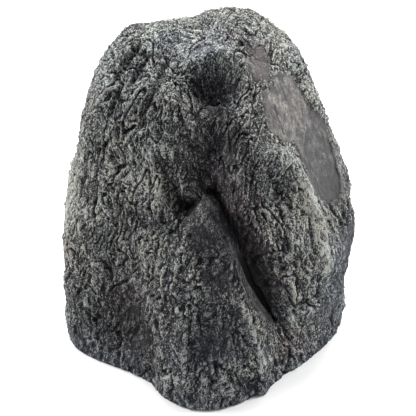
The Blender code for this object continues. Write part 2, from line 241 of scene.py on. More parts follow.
# Painted highlight: the top, the left edge, the right shoulder, the knobs and the low front.
HIGHLIGHT_SPOTS = (
    ((-5, 78), 0.60, 0.090),
    ((12, 74), 0.50, 0.070),
    ((-14, 70), 0.40, 0.060),
    ((4, 69), 0.50, 0.055),
    ((-8, 69), 0.40, 0.050),
    ((-50, 72), 0.25, 0.090),
    ((-58, 55), 0.60, 0.080),
    ((-60, 30), 0.35, 0.090),
    ((-63, 10), 1.15, 0.120),
    ((-60, 22), 0.80, 0.110),
    ((-60, -4), 0.70, 0.100),
    ((-38, 28), 0.45, 0.110),
    ((-45, -4), 0.45, 0.055),
    ((-17, 54), 0.55, 0.050),
    ((-23, 9), 0.45, 0.050),
    ((-20, 34), 0.35, 0.045),
    ((58, 66), 0.60, 0.090),
    ((62, 50), 0.60, 0.070),
    ((30, 38), 0.35, 0.045),
    ((38, 20), 1.40, 0.070),
    ((41, 2), 0.60, 0.085),
    ((17, 52), 0.35, 0.050),
    ((-2, -34), 0.70, 0.070),
    ((16, 42), 0.35, 0.040),
)
WARM_SPOTS = (
    ((2, 36), 0.8, 0.060),
    ((8, 26), 1.0, 0.060),
    ((14, 14), 1.0, 0.060),
    ((18, 4), 0.7, 0.060),
    ((-28, -14), 0.6, 0.070),
    ((26, -27), 0.7, 0.060),
    ((34, 66), 0.3, 0.050),
    ((-60, -4), 0.5, 0.070),
)
COOL_SPOTS = (
    ((1, -14), 0.9, 0.110),
    ((-8, 70), 0.7, 0.080),
    ((55, -15), 0.9, 0.150),
    ((-30, 70), 0.5, 0.090),
    ((-46, 55), 0.4, 0.090),
)
BALD_SPOTS = (
    ((29, 62), 1.00, 0.034),
    ((33, 66), 0.70, 0.030),
    ((58, 38), 1.20, 0.045),
    ((59, 29), 1.30, 0.045),
    ((59, 20), 1.20, 0.045),
)

# The grain's layers: the size in mm (along X, Y and Z), the noise seed, the height or depth in mm, and the
# noise value that counts as level, or the two values between which the layer fades in.
Layer = namedtuple("Layer", "size seed high level")
SWELL = Layer(38, 21, 2.4, 0)
CRAGS = Layer((17, 17, 36), 31, 3.7, 0.35)
FLAKES = Layer((13, 13, 30), 61, 2.0, 0.4)
CRACKS = Layer((7, 7, 26), 41, 1.4, 0.3)
FIBRES = Layer((4.4, 4.4, 9), 51, 0.6, 0.3)
FINE = Layer((2.4, 2.4, 5), 73, 0.30, 0)
PITS = Layer((5, 5, 10), 66, 1.0, (0.38, 0.70))
HOLES = Layer((11, 11, 20), 67, 1.4, (0.50, 0.75))
SPLITS = Layer((15, 15, 44), 45, 3.8, (0.090, 0.02))
SPLIT_PATCHES = Layer(24, 46, 1.0, (-0.25, 0.1))
NICKS = Layer((8.5, 8.5, 24), 47, 1.7, (0.11, 0.03))
NICK_PATCHES = Layer(15, 48, 1.0, (-0.2, 0.15))
ROUGH_PATCHES = Layer(30, 71, 1.0, (-0.35, 0.35))
FLAKE_STEPS = 2.6
PIT_MM = 2.2
CRACK_MOST = 1.3
LEAST_ROUGH = 0.55
PATCH_ROUGH = 0.45
CALM_FINE = 0.25
ROUGH_FINE = 0.75
# How the grain bends, broadly and then finely, in mm, and how it leans on the right, low down.
BEND_SIZE = 28
BEND_SEEDS = (11, 12, 13)
BEND_MM = 6.0
CURL_SIZE = 7
CURL_SEEDS = (14, 15, 16)
CURL_MM = 1.3
LEAN = 0.45
LEAN_X = (0.02, 0.16)
LEAN_Z = (0.95, 0.6)

# What makes an outline or a level uneven: the noise's size in mm, its seed and how much of it.
WOBBLE = ((9, 81, 2.4), (3.5, 82, 1.2))
CRUST_EDGE = ((14, 91, 3.4), (5, 92, 1.6))
SLIT_EDGE = ((8, 101, 1.2),)
MOUTH_EDGE = ((22, 111, 2.5), (7, 112, 1.2))
STROKE_BEND = ((12, 126, 0.8),)
LEDGE_BEND = ((16, 124, 4),)
SLAB_CRACK_BEND = ((9, 127, 1.5),)
SLAB_DENTS = ((15, 122, 1.0), (5.5, 123, 0.30))
SLAB_SPECK = ((2.2, 128, 0.16),)
SLAB_PATCHES = ((8, 125, 0.24),)

# The fissure in mm: half its width, its flanks (left, right), floor and depth, and the gloom beside it,
# which is painted shadow.
# ENDS are the shares of a path over which it fades in or out.
TROUGH_HALF = 3.6
TROUGH_BULGE = 4.2
TROUGH_SKEW = 0.7
TROUGH_FLANKS = (7.0, 1.5)
TROUGH_FLOOR = 1.5
TROUGH_MM = 6.0
TROUGH_ENDS = (0.2, 0.1)
TROUGH_CALM = 0.2
GLOOM = (0.80, 0.85)
GLOOM_LEFT = (29, 12)
GLOOM_RIGHT = (17, 7)
GLOOM_ENDS = 0.25
GLOOM_CALM = (0.8, 0.35)
# The V at its head, the crack at its foot and the creases, in mm.
VEE_FADE = (4.0, 0.5)
VEE_MM = 3.5
VEE_ENDS = 0.9
CRACK_FADE = (3.2, 0.6)
CRACK_MM = 4.0
CRACK_WOBBLE = 0.5
CREASE_FLOOR = 0.3
CREASE_WOBBLE = 0.6
CREASE_ENDS = 0.3
# The window over the slab: how soft its edge is and how deep the crust dives there, in mm, how far from
# the slab's plane it starts, in heights, and the shaded lip along it.
WINDOW_SOFT = 1.5
WINDOW_MM = 6.5
WINDOW_OUT = -0.08
LIP_MM = 2.5
LIP_U = (0.10, 0.03)
# The foot of the rock, in heights: how high its painted shade and cool tint and its flattened rim reach.
HEM = 0.15
HEM_CALM = 0.6
HEM_COOL = 0.6
RIM_FADE = (0.0, 0.05)
RIM_LEAST = 0.3
RIM_MORE = 0.7
BALD_FLAT = 0.85
# How much painted shade darkens each part.
VEE_DARK = 0.7
CRACK_DARK = 0.7
CREASE_DARK = 0.6
HEM_DARK = 0.15
LIP_DARK = 0.5
# The dry-brush: how far round it compares the stone, in mm, how softly, and how the form counts.
NEAR_MM = 1.6
NEAR_SOFT = 1.5
WIDE_MM = 6.0
WIDE_SOFT = 5.0
FORM_SHARE = 0.4
CALM_EVEN = 0.55
DUST_AND_HIGHLIGHT_ENDS = 0.2

# The shells: the wall, the limits of the grain, the inside behind the fissure and the edges of the holes,
# in mm, and the gap at the seam, in metres.
WALL_MM = 8.0
THINNEST_MM = 6.8
HIGHEST_MM = 8.0
BACKING_MM = 7.0
BACKING_FADE = (26.0, 10.0)
HOLE_FADE = (8.0, 0.0)
HOLE_MM = 5.0
SEAM_GAP = 0.00015
# The slit: where it starts and ends on the fissure, and half its width in mm. The mouth is in metres.
SLIT_FIRST = 0.48
SLIT_LAST = 0.97
SLIT_FADE_MM = 150.0
SLIT_HALF = 1.4
SLIT_BULGE = 1.6
MOUTH_X = -0.010
MOUTH_WIDE = 0.118
MOUTH_TALL = 0.112
MOUTH_INSET_MM = 1.0

# The slab, in heights across (U) and up from its middle: its grid, its ledge, its crack and its foot.
SLAB_STEP = 0.0026
SLAB_MARGIN = 0.03
LEDGE_U = 0.055
LEDGE_SLOPE = 0.64
LEDGE_END = (0.13, 0.08)
SLAB_CRACK_U = -0.060
SLAB_FOOT = (-0.15, -0.20)
# And in mm.
SLAB_THICK = 5.5
SLAB_UNDER = 5.0
SLAB_SHOWN = (4.8, 2.6)
SLAB_SUNK = 4.0
SLAB_LEVEL = -1.0
SLAB_RIM = 3.5
STROKE_WIDE = 4.5
STROKE_LONG = 10
STROKE_MM = 0.30
STROKE_SEED = 121
LEDGE_SOFT = 1.2
LEDGE_MM = 1.8
LEDGE_SEAM = Layer(13, 129, 0.8, (-0.6, 0.2))
SEAM_WIDE = 1.5
SLAB_CRACK_MIDDLE = 16
SLAB_CRACK_WIDE = (1.4, 0.4)
SLAB_CRACK_LONG = (14, 11)
SLAB_CRACK_MM = 0.9
# How bare its paint is, what the strokes, crack and seam change, the painted shade along the crust's
# rim, and how low the ledge counts.
SLAB_BARE = 0.48
STROKE_BARE = 0.22
CRACK_BARE = 0.5
SEAM_BARE = 0.45
RIM_SHADE = 0.3
LEDGE_LOW = 0.45

# The paints' tones: a place from 0 to 1 and the colour there.
ROCK_TONES = (
    (0.06, (0.0015, 0.0014, 0.0025)),
    (0.30, (0.0084, 0.0082, 0.0130)),
    (0.48, (0.0335, 0.0342, 0.0400)),
    (0.68, (0.104, 0.107, 0.104)),
    (0.86, (0.208, 0.215, 0.195)),
    (1.00, (0.34, 0.349, 0.308)),
)
STONE_TONES = ((0.35, (0.040, 0.038, 0.038)), (0.65, (0.105, 0.099, 0.096)))
SLAB_TONES = (
    (0.10, (0.015, 0.0135, 0.0135)),
    (0.45, (0.050, 0.0465, 0.0450)),
    (0.75, (0.098, 0.0895, 0.0850)),
    (1.00, (0.178, 0.164, 0.153)),
)
RESIN_TONES = ((0.3, (0.010, 0.010, 0.011)), (0.7, (0.030, 0.030, 0.032)))
SAND_TONES = ((0.2, (0.10, 0.075, 0.05)), (0.5, (0.26, 0.21, 0.15)), (0.8, (0.42, 0.37, 0.29)))
RUBBER_TONES = ((0.4, (0.010, 0.010, 0.010)), (0.75, (0.035, 0.034, 0.032)))
# Painted shade multiplies the rock paint by this tint.
SHADE_TINT = (0.24, 0.23, 0.27)
WARM_TINT = (1.0, 0.78, 0.80)
COOL_TINT = (0.74, 0.82, 0.98)
FOOT_TINT = (0.84, 0.88, 1.0)
FLOOR_COLOUR = (0.96, 0.96, 0.96, 1.0)
SHEEN = 0.22
SAND_GRAIN_MM = 1.6

# The studio. Lamps: where, their power and their size.
CAMERA_AIM = (0.0, -0.0133, 0.427)
CAMERA_RISE = math.radians(33)
CAMERA_AWAY = 1.0
CAMERA_LENS = 98.0
SKY = 0.45
FLOOR_SIZE = 12.0
LAMPS = (
    ("key_above", (0.05, 0.45, 1.40), 44.0, 0.7),
    ("side_right", (1.30, 0.10, 0.70), 25.0, 0.6),
    ("side_left", (-1.30, 0.05, 0.80), 28.0, 0.6),
    ("front_fill", (0.0, -1.6, 0.9), 2.5, 1.2),
)


# Fields: the rock's broad form.


def lump(p, centre, radii, plan=2.0, rise=2.0):
    """About how far each point is outside a superellipsoid."""
    q = p - np.array(centre)
    s = np.abs(q) / np.array(radii)
    flat = (s[..., 0] ** plan + s[..., 1] ** plan) ** (rise / plan)
    size = np.maximum((flat + s[..., 2] ** rise) ** (1 / rise), 1e-6)
    return np.linalg.norm(q, axis=-1) * (1 - 1 / size)


def join(a, b, blend):
    """The union of two fields, rounded over blend where they meet."""
    mix = np.clip(0.5 + 0.5 * (b - a) / blend, 0, 1)
    return b + (a - b) * mix - blend * mix * (1 - mix)


def facet(field, p, at, normal, blend):
    """The field with everything past a plane taken away."""
    n = np.array(normal) / np.linalg.norm(normal)
    return -join(-field, -((p - np.array(at)) @ n), blend)


def rock(p):
    """Below zero inside the boulder, about the distance to its surface elsewhere."""
    f = lump(p, (-0.01, 0.05, -0.02), (0.435, 0.42, 0.93), plan=2.3, rise=2.7)
    f = facet(f, p, (-0.30, -0.215, 0.0), (-0.47, -0.88, 0.18), 0.05)
    f = facet(f, p, (0.235, -0.265, 0.0), (0.72, -0.70, 0.08), 0.07)
    f = join(f, lump(p, (0.15, 0.04, 0.35), (0.28, 0.31, 0.36)), 0.06)
    f = join(f, lump(p, (0.06, 0.12, 0.68), (0.24, 0.23, 0.305)), 0.08)
    f = join(f, lump(p, (-0.15, 0.10, 0.675), (0.22, 0.21, 0.28)), 0.06)
    f = join(f, lump(p, (-0.01, -0.14, 0.0), (0.20, 0.275, 0.56), rise=2.4), 0.06)
    f = join(f, lump(p, (-0.20, 0.24, 0.12), (0.26, 0.22, 0.34)), 0.06)
    f = join(f, lump(p, (0.14, 0.30, 0.30), (0.22, 0.20, 0.38)), 0.05)
    f = facet(f, p, (-0.24, 0.42, 0.50), (-0.62, 0.70, 0.34), 0.05)
    f = facet(f, p, (0.24, 0.40, 0.66), (0.50, 0.70, 0.50), 0.05)
    f = facet(f, p, (-0.40, 0.05, 0.62), (-0.93, 0.05, 0.36), 0.05)
    return facet(f, p, SLAB_AT, SLAB_NORMAL, 0.02)


def aim(azimuth, elevation):
    """Unit vectors from angles in degrees."""
    a = np.radians(azimuth)
    e = np.radians(elevation)
    return np.stack([np.sin(a) * np.cos(e), -np.cos(a) * np.cos(e), np.sin(e)], -1)


def reach(start, ways, depth=0.0):
    """How far each ray goes from start to the surface that lies depth below the rock's own."""
    near = np.full(len(ways), NEAREST)
    far = np.full(len(ways), FARTHEST)
    for _ in range(HALVINGS):
        middle = (near + far) / 2
        inside = rock(start + ways * middle[:, None]) < -depth
        near = np.where(inside, middle, near)
        far = np.where(inside, far, middle)
    return (near + far) / 2


def on_rock(angles):
    ways = aim(*np.array(angles, float).T)
    return CORE + ways * reach(CORE, ways)[:, None]


def smooth_path(points, between=5):
    """A Catmull-Rom curve through the points, or through each column of a grid of points."""
    p = np.array(points, float)
    ends = np.concatenate([[2 * p[0] - p[1]], p, [2 * p[-1] - p[-2]]])
    curve = []
    for i in range(len(p) - 1):
        a, b, c, d = ends[i : i + 4]
        for t in np.arange(between) / between:
            bend = 2 * a - 5 * b + 4 * c - d
            twist = 3 * b - a - 3 * c + d
            curve.append(b + 0.5 * ((c - a) * t + bend * t**2 + twist * t**3))
    return np.array(curve + [p[-1]])


def trail(p, angles, far=0.2):
    """Distance to a path on the rock, the side of it (+1 right, -1 left) and how far along it.
    Points further than about far from the path get a distance of 9."""
    line = on_rock(smooth_path(angles))
    nearest = np.full(len(p), 9.0)
    side = np.zeros(len(p))
    along = np.zeros(len(p))
    close = np.flatnonzero(np.all((p > line.min(0) - far) & (p < line.max(0) + far), axis=1))
    q = p[close]
    best = nearest[close]
    best_side = side[close]
    best_along = along[close]
    for i, (a, b) in enumerate(zip(line[:-1], line[1:])):
        step = b - a
        t = np.clip(((q - a) @ step) / (step @ step), 0, 1)
        off = q - a - t[:, None] * step
        distance = np.sqrt(np.einsum("ij,ij->i", off, off))
        closer = distance < best
        across = np.sign(off @ np.cross(step, (a + b) / 2 - CORE))
        best = np.where(closer, distance, best)
        best_side = np.where(closer, across, best_side)
        best_along = np.where(closer, (i + t) / (len(line) - 1), best_along)
    nearest[close] = best
    side[close] = best_side
    along[close] = best_along
    return nearest, side, along


def bump(distance, width):
    return np.exp(-((distance / width) ** 2))


def spot(p, place, width):
    off = p - on_rock([place])[0]
    return bump(np.sqrt(np.einsum("ij,ij->i", off, off)), width)


def faded(along, share):
    """Rises smoothly from 0 to 1 over a share of a path's length."""
    if share == 0:
        return 1.0
    t = np.clip(along / share, 0, 1)
    return t * t * (3 - 2 * t)


def relief(p):
    """How far the ridges, grooves, knobs and dents stand out from the rock, in heights."""
    h = np.zeros(len(p))
    for path, height, left, right, fade_in, fade_out in FORMS:
        distance, side, along = trail(p, path)
        flank = bump(distance, np.where(side > 0, right, left))
        h += height * flank * faded(along, fade_in) * faded(1 - along, fade_out)
    for place, height, width in SPOTS:
        h += height * spot(p, place, width)
    return h


def plain_skin(azimuths, rows, depth):
    """Rows of points depth under the rock's surface, from the rim to the pole over CORE, and the
    rock's own points behind them. Ridges and grooves are left out."""
    foot = np.array((CORE[0], CORE[1], 0.0))
    level = aim(azimuths, np.zeros(len(azimuths)))
    rim = reach(foot, level, depth)
    low = np.degrees(np.arctan2(-CORE[2], rim))
    shares = np.linspace(0, 1, rows + 1)[1:, None]
    points = np.empty((rows + 1, len(azimuths), 3))
    points[0] = foot + level * rim[:, None]
    ways = aim(np.tile(azimuths, rows), (low + (90 - low) * shares).ravel())
    points[1:] = (CORE + ways * reach(CORE, ways, depth)[:, None]).reshape(rows, -1, 3)
    if depth == 0:
        return points, points
    ways = points.reshape(-1, 3) - CORE
    ways /= np.linalg.norm(ways, axis=1)[:, None]
    outer = CORE + ways * reach(CORE, ways)[:, None]
    return points, outer.reshape(points.shape)


def carved(points, outer, depth):
    """A skin's points with the ridges and grooves, for a skin at depth."""
    shape = points.shape
    flat = points.reshape(-1, 3)
    ways = flat - CORE
    ways /= np.linalg.norm(ways, axis=1)[:, None]
    push = ways * relief(outer.reshape(-1, 3))[:, None]
    if depth > 0:
        push *= faded(flat[:, 2:] - INNER_PLAIN, INNER_FADE)
    push[:, 2] *= np.clip(flat[:, 2] / RIM_CALM, 0, 1)
    return (flat + push).reshape(shape)


def finer(points):
    """The grid with FINER times as many steps each way, on curves through its points."""
    rows = smooth_path(points, FINER)
    return smooth_path(rows.swapaxes(0, 1), FINER).swapaxes(0, 1)


# From heights to the frame's metres.


def read_scale():
    """Metres in one height, and the point in metres where heights are measured from."""
    points, outer = plain_skin(np.arange(0, 360, 6.0), 24, 0.0)
    flat = carved(points, outer, 0.0)[:-1].reshape(-1, 3)
    middle = (flat.min(0) + flat.max(0)) / 2
    front_low, front_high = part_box("front_shell")
    rear_low, rear_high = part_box("rear_shell")
    deep = (rear_high.y - front_low.y) / (flat[:, 1].max() - flat[:, 1].min())
    wide = (max(front_high.x, rear_high.x) - min(front_low.x, rear_low.x)) / (
        flat[:, 0].max() - flat[:, 0].min()
    )
    scale = (deep + wide) / 2
    return scale, np.array((-middle[0] * scale, -middle[1] * scale, front_low.z))


SCALE, ORIGIN = read_scale()
MM = SCALE * 1000


def placed(points):
    """Points in heights as points in the frame's metres."""
    return np.asarray(points) * SCALE + ORIGIN


# Noise on a lattice, for grain that is the same each run.

LATTICE = 4096
SHUFFLE = np.random.default_rng(7).permutation(LATTICE).astype(np.int32)
GRADIENTS = np.random.default_rng(8).normal(size=(LATTICE, 3)).astype(np.float32)
GRADIENTS /= np.linalg.norm(GRADIENTS, axis=1)[:, None]


def noise(p, seed):
    """Gradient noise, about -1 to 1."""
    base = np.floor(p)
    f = (p - base).astype(np.float32)
    w = f * f * f * (f * (f * 6 - 15) + 10)
    cell = base.astype(np.int32) + np.array((seed * 37, 0, 0), np.int32)
    total = np.zeros(len(p), np.float32)
    for x in (0, 1):
        code_x = SHUFFLE[(cell[:, 0] + x) % LATTICE]
        weight_x = w[:, 0] if x else 1 - w[:, 0]
        for y in (0, 1):
            code_y = SHUFFLE[(code_x + cell[:, 1] + y) % LATTICE]
            weight_y = weight_x * (w[:, 1] if y else 1 - w[:, 1])
            for z in (0, 1):
                gradient = GRADIENTS[SHUFFLE[(code_y + cell[:, 2] + z) % LATTICE]]
                away = f - np.array((x, y, z), np.float32)
                weight = weight_y * (w[:, 2] if z else 1 - w[:, 2])
                total += weight * np.einsum("ij,ij->i", gradient, away)
    return total * 1.6


def layered(p, seed, octaves=3, gain=0.5):
    total = np.zeros(len(p), np.float32)
    size = 1.0
    for octave in range(octaves):
        total += size * noise(p * 2.03**octave + octave * 7.3, seed + octave)
        size *= gain
    return total


def ridged(p, seed, octaves=3, gain=0.55):
    """Sharp crests over rounded hollows, 0 in a hollow and about 1 on a crest."""
    total = np.zeros(len(p), np.float32)
    weight = 1.0
    size = 1.0
    whole = 0.0
    for octave in range(octaves):
        away = np.abs(noise(p * 2.07**octave + octave * 3.1, seed + octave))
        crest = (1 - np.minimum(away * 1.9, 1)) ** 2
        total += size * crest * weight
        whole += size
        weight = np.clip(crest * 1.5, 0.15, 1)
        size *= gain
    return total / whole


def flaked(p, seed, steps):
    """Ramps that each end in a small ledge, 0 to 1."""
    ramp = (layered(p, seed, 2) * steps) % 1.0
    return ramp * smoothstep(1.0, 0.88, ramp)


def smoothstep(low, high, x):
    t = np.clip((x - low) / (high - low), 0, 1)
    return t * t * (3 - 2 * t)


def local_mean(grid, reach_mm):
    """The mean over a square window of the grid, reach_mm to each side, taken twice."""
    half = max(1, round(reach_mm / STEP_MM))
    for axis in (0, 1, 0, 1):
        pad = [(0, 0), (0, 0)]
        pad[axis] = (half + 1, half)
        total = np.cumsum(np.pad(grid, pad, mode="edge"), axis=axis)
        ahead = np.take(total, range(2 * half + 1, total.shape[axis]), axis)
        behind = np.take(total, range(total.shape[axis] - 2 * half - 1), axis)
        grid = (ahead - behind) / (2 * half + 1)
    return grid


# The slab's own axes.


def slab_axes():
    out = np.array(SLAB_NORMAL) / np.linalg.norm(SLAB_NORMAL)
    across = np.cross((0.0, 0.0, 1.0), out)
    across /= np.linalg.norm(across)
    return across, np.cross(out, across), out


def slab_place(p):
    """Points in heights as places across, up and out from the slab's middle, in heights."""
    away = p - np.array(SLAB_AT)
    return [away @ axis for axis in slab_axes()]


def outside(u, v, outline):
    """Signed distance to a closed outline, below zero inside it."""
    corners = np.array(outline)
    distance = np.full(u.shape, 9.0)
    inside = np.zeros(u.shape, bool)
    for (ax, ay), (bx, by) in zip(corners, np.roll(corners, -1, 0)):
        ex, ey = bx - ax, by - ay
        t = np.clip(((u - ax) * ex + (v - ay) * ey) / (ex * ex + ey * ey), 0, 1)
        distance = np.minimum(distance, np.hypot(u - ax - t * ex, v - ay - t * ey))
        if ey != 0:
            crosses = (ay > v) != (by > v)
            inside ^= crosses & (u < ex * (v - ay) / ey + ax)
    return np.where(inside, -distance, distance)


def roughened(level, q, layers):
    """The level with layers of noise added. q is in mm."""
    for size, seed, amount in layers:
        level = level + amount * noise(q / size, seed)
    return level


def slab_edge(p, u, v):
    """Distance in mm to the slab's broken edge, below zero on the slab."""
    return roughened(outside(u, v, SLAB_OUTLINE) * MM, p * MM, CRUST_EDGE)


# The grain of the stone, in millimetres.


def strongest(p, table):
    """The strongest of a table's soft spots at each point."""
    most = np.zeros(len(p))
    for place, amount, width in table:
        most = np.maximum(most, amount * spot(p, place, width))
    return most


def shown(q, layer):
    """How far a layer has faded in at points in mm, 0 to 1."""
    return smoothstep(*layer.level, noise(q / layer.size, layer.seed))


def line_depth(along, q, rough, lines, patches):
    """How deep thin lines, where a layer's noise is near zero, cut into the patches that have them."""
    away = np.abs(noise(along / lines.size, lines.seed))
    return lines.high * smoothstep(*lines.level, away) * rough * shown(q, patches)


def grain(p, calm):
    """Height of the stone's grain in mm. p is in heights, and calm is how smooth the stone is."""
    q = (p * MM).astype(np.float32)
    lean = LEAN * smoothstep(*LEAN_X, p[:, 0]) * smoothstep(*LEAN_Z, p[:, 2])
    wavy = q + BEND_MM * np.stack([noise(q / BEND_SIZE, seed) for seed in BEND_SEEDS], -1)
    wavy += CURL_MM * np.stack([noise(wavy / CURL_SIZE, seed) for seed in CURL_SEEDS], -1)
    along = np.stack([wavy[:, 0] + lean * wavy[:, 2], wavy[:, 1], wavy[:, 2]], -1)
    patchy = shown(q, ROUGH_PATCHES)
    rough = (1 - calm) * (LEAST_ROUGH + PATCH_ROUGH * patchy)
    crags = ridged(along / CRAGS.size, CRAGS.seed, 3) - CRAGS.level
    cracks = ridged(along / CRACKS.size, CRACKS.seed, 2) - CRACKS.level
    fibres = ridged(wavy / FIBRES.size, FIBRES.seed, 2) - FIBRES.level
    flakes = flaked(along / FLAKES.size, FLAKES.seed, FLAKE_STEPS) - FLAKES.level
    pits = PITS.high * shown(along, PITS)
    pits += HOLES.high * shown(along, HOLES)
    h = SWELL.high * layered(q / SWELL.size, SWELL.seed, 2)
    h += rough * (CRAGS.high * crags + FLAKES.high * flakes - PIT_MM * pits)
    fine = FIBRES.high * fibres - CRACKS.high * cracks * (CRACK_MOST - patchy)
    h += (CALM_FINE + ROUGH_FINE * rough) * fine
    h += FINE.high * noise(along / FINE.size, FINE.seed)
    h -= line_depth(along, q, rough, SPLITS, SPLIT_PATCHES)
    h -= line_depth(along, q, rough, NICKS, NICK_PATCHES)
    return h


def detail(p):
    """What the grain and the finer features add to the rock in mm, the grain alone, how much painted shade
    it gets and how calm the stone is."""
    q = p * MM
    calm = strongest(p, CALM_SPOTS)
    u, v, out = slab_place(p)
    edge = slab_edge(p, u, v)
    facing = out > WINDOW_OUT
    texture = grain(p, calm)
    wobble = roughened(0.0, q, WOBBLE)
    distance, side, along = trail(p, FISSURE)
    away = distance * MM
    left = side < 0
    wide = TROUGH_HALF + TROUGH_BULGE * np.sin(np.pi * np.clip(along, 0, 1) ** TROUGH_SKEW) + wobble
    flank = wide + np.where(left, *TROUGH_FLANKS)
    trough = smoothstep(flank, wide - TROUGH_FLOOR, away) * faded(1 - along, TROUGH_ENDS[1])
    h = texture * (1 - TROUGH_CALM * trough) - TROUGH_MM * trough * faded(along, TROUGH_ENDS[0])
    # Painted shadow beside the fissure.
    gloom_left = GLOOM[0] * smoothstep(*GLOOM_LEFT, away)
    gloom_right = GLOOM[1] * smoothstep(*GLOOM_RIGHT, away)
    gloom = np.where(left, gloom_left, gloom_right) * faded(1 - along, GLOOM_ENDS)
    calm = np.maximum(calm, np.where(left, *GLOOM_CALM) * gloom)
    distance, _, along = trail(p, VEE)
    vee = smoothstep(VEE_FADE[0] + wobble, VEE_FADE[1], distance * MM) * faded(1 - along, VEE_ENDS)
    h -= VEE_MM * vee
    distance = trail(p, CRACK)[0]
    crack = smoothstep(CRACK_FADE[0] + CRACK_WOBBLE * wobble, CRACK_FADE[1], distance * MM)
    h -= CRACK_MM * crack
    folds = np.zeros(len(p))
    for path, depth, width in CREASES:
        distance, _, along = trail(p, path)
        fold = smoothstep(width + CREASE_WOBBLE * wobble, CREASE_FLOOR, distance * MM)
        fold = fold * faded(along, CREASE_ENDS) * faded(1 - along, CREASE_ENDS)
        h -= depth * fold
        folds = np.maximum(folds, fold)
    window = smoothstep(WINDOW_SOFT, -WINDOW_SOFT, edge) * facing
    h = h * (1 - window) - WINDOW_MM * window
    # Painted shade towards the foot, which faces down.
    hem = smoothstep(HEM, 0.0, p[:, 2])
    calm = np.maximum(calm, HEM_CALM * hem)
    bald = np.minimum(strongest(p, BALD_SPOTS), 1.0)
    h *= 1 - BALD_FLAT * bald * (1 - window)
    h *= RIM_LEAST + RIM_MORE * smoothstep(*RIM_FADE, p[:, 2])
    # Painted shade: the spots, then the fissure's trough and its gloom, the slab's lip, the V, the crack,
    # the creases and the foot.
    shade = strongest(p, SHADE_SPOTS)
    lip = LIP_DARK * bump(edge, LIP_MM) * facing * smoothstep(*LIP_U, u)
    painted_shades = (VEE_DARK * vee, CRACK_DARK * crack, CREASE_DARK * folds, HEM_DARK * hem)
    for dark in (trough, gloom, lip, *painted_shades):
        shade = np.maximum(shade, dark)
    return h, texture, shade, calm


def dust_and_highlight_amount(p):
    """How much extra light the paint gets: painted highlight, and dry-brush along the ridges."""
    dust_and_highlight = strongest(p, HIGHLIGHT_SPOTS)
    for path, amount, width in DRYBRUSH_AND_HIGHLIGHT_RIDGES:
        distance, _, along = trail(p, path)
        ends = (faded(along, DUST_AND_HIGHLIGHT_ENDS), faded(1 - along, DUST_AND_HIGHLIGHT_ENDS))
        dust_and_highlight = np.maximum(dust_and_highlight, amount * bump(distance * MM, width) * ends[0] * ends[1])
    return dust_and_highlight


# Meshes.


def make_object(name, points, faces, looks, attributes, face_looks=None):
    """A smooth-shaded object from points in metres, with its point attributes and materials."""
    mesh = bpy.data.meshes.new(name)
    mesh.from_pydata(points.tolist(), [], faces)
    for key, values in attributes.items():
        layer = mesh.attributes.new(key, "FLOAT", "POINT")
        layer.data.foreach_set("value", np.asarray(values, np.float32))
    for look in looks:
        mesh.materials.append(look)
    if face_looks is not None:
        mesh.polygons.foreach_set("material_index", face_looks)
    mesh.shade_smooth()
    mesh.update()
    made = bpy.data.objects.new(name, mesh)
    scene.collection.objects.link(made)
    clear_loose(made)
    return made


def clear_loose(thing):
    """Deletes points that no face uses."""
    mesh = thing.data
    corners = np.empty(len(mesh.loops), np.int32)
    mesh.loops.foreach_get("vertex_index", corners)
    used = np.zeros(len(mesh.vertices), bool)
    used[corners] = True
    if used.all():
        return
    made = bmesh.new()
    made.from_mesh(mesh)
    made.verts.ensure_lookup_table()
    bmesh.ops.delete(made, geom=[made.verts[i] for i in np.flatnonzero(~used)], context="VERTS")
    made.to_mesh(mesh)
    made.free()


def open_edges(faces):
    """Directed edges of quads or triangles that no other face shares, as an array of pairs."""
    ends = np.concatenate([faces, np.roll(faces, -1, 1)], 1).reshape(len(faces), 2, -1)
    pairs = ends.transpose(0, 2, 1).reshape(-1, 2).astype(np.int64)
    pairs = pairs[pairs[:, 0] != pairs[:, 1]]
    most = pairs.max() + 1
    codes = pairs[:, 0] * most + pairs[:, 1]
    return pairs[~np.isin(pairs[:, 1] * most + pairs[:, 0], codes)]


def grid_quads(rows, width):
    """The quads of a grid of points, as their places in it."""
    corner = (np.arange(rows - 1)[:, None] * width + np.arange(width - 1)).ravel()
    return np.stack([corner, corner + 1, corner + width + 1, corner + width], 1)


def grid_normals(points):
    """Outward normals of a grid of points, rows going up and columns going round."""
    rise = np.gradient(points, axis=0)
    run = np.gradient(points, axis=1)
    normal = np.cross(run, rise)
    return normal / np.maximum(np.linalg.norm(normal, axis=-1, keepdims=True), 1e-12)


